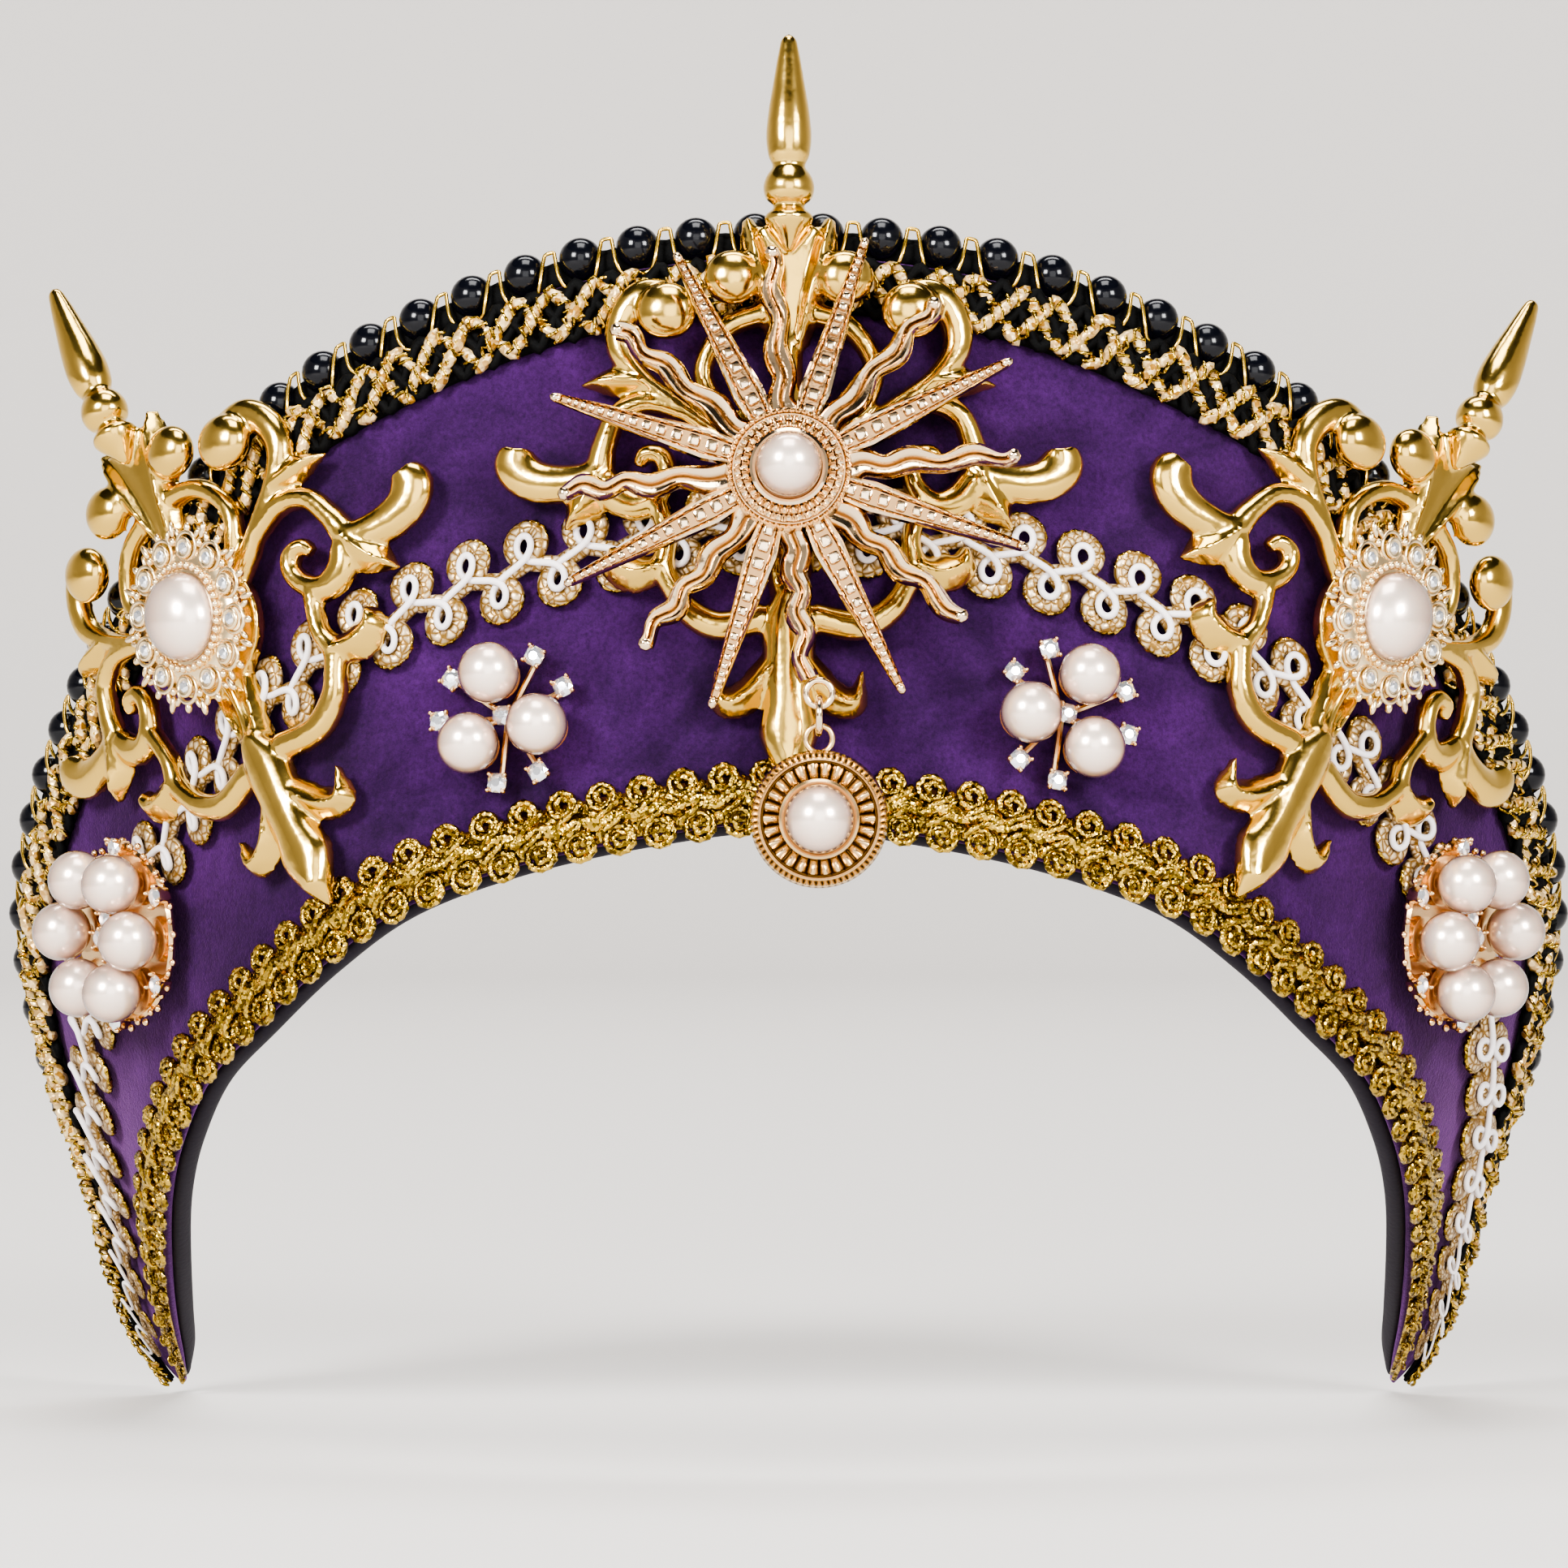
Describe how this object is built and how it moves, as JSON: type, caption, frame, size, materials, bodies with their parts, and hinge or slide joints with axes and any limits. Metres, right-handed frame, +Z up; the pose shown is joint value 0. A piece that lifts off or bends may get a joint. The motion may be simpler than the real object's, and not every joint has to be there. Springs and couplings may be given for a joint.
{
  "type": "velvet halo tiara",
  "caption": "Open-backed velvet halo tiara with braid and gimp trims, cast gold filigree spikes, a sunburst, a hanging pearl pendant and pearl jewels.",
  "frame": {"origin": "middle of the head opening, where the wearer's head holds the band", "axes": "+Z up as worn, -Y the way the wearer faces, +X to the right seen from the front"},
  "size_m": [0.2146, 0.1145, 0.181],
  "materials": {
    "velvet": "short purple velvet pile over a stiff base",
    "lining": "dark matt lining",
    "gold_gimp": "metallic gold scroll gimp",
    "white_gimp": "gold mesh gimp with white scroll cord",
    "braid": "cream-gold and black plait",
    "black_bead": "glossy black round beads on a thread",
    "gold": "polished yellow gold plate",
    "pale_gold": "bright pale gold plate, textured",
    "jewelled_gold": "rose gold settings with clear cut stones",
    "pearl": "imitation pearl, soft lustre"
  },
  "bodies": {
    "band": {"bead_string_left": "black_bead", "bead_string_right": "black_bead", "bottom_gimp": "gold_gimp", "brooch_left": "jewelled_gold", "brooch_pearl_left": "pearl", "brooch_pearl_right": "pearl", "brooch_right": "jewelled_gold", "cluster_left": "jewelled_gold", "cluster_pearl_left_1": "pearl", "cluster_pearl_left_2": "pearl", "cluster_pearl_left_3": "pearl", "cluster_pearl_left_4": "pearl", "cluster_pearl_left_5": "pearl", "cluster_pearl_left_6": "pearl", "cluster_pearl_right_1": "pearl", "cluster_pearl_right_2": "pearl", "cluster_pearl_right_3": "pearl", "cluster_pearl_right_4": "pearl", "cluster_pearl_right_5": "pearl", "cluster_pearl_right_6": "pearl", "cluster_right": "jewelled_gold", "filigree_center": "gold", "filigree_left": "gold", "filigree_right": "gold", "inner_lining": "lining", "middle_gimp": "white_gimp", "sunburst": "pale_gold", "sunburst_pearl": "pearl", "top_braid": "braid", "trefoil_left": "jewelled_gold", "trefoil_pearl_left_1": "pearl", "trefoil_pearl_left_2": "pearl", "trefoil_pearl_left_3": "pearl", "trefoil_pearl_right_1": "pearl", "trefoil_pearl_right_2": "pearl", "trefoil_pearl_right_3": "pearl", "trefoil_right": "jewelled_gold", "velvet_shell": "velvet"},
    "link": {"jump_ring": "pale_gold"},
    "drop": {"pendant": "pale_gold", "pendant_pearl": "pearl"}
  },
  "joints": [
    {"name": "link_swing", "type": "hinge", "parent": "band", "child": "link", "pos_m": [0.0038, -0.05681, 0.05475], "axis": [-1, 0, 0], "range_deg": [-2, 75]},
    {"name": "drop_swing", "type": "hinge", "parent": "link", "child": "drop", "pos_m": [0.0038, -0.05681, 0.0514], "axis": [0, 1, 0], "range_deg": [-40, 40]}
  ]
}
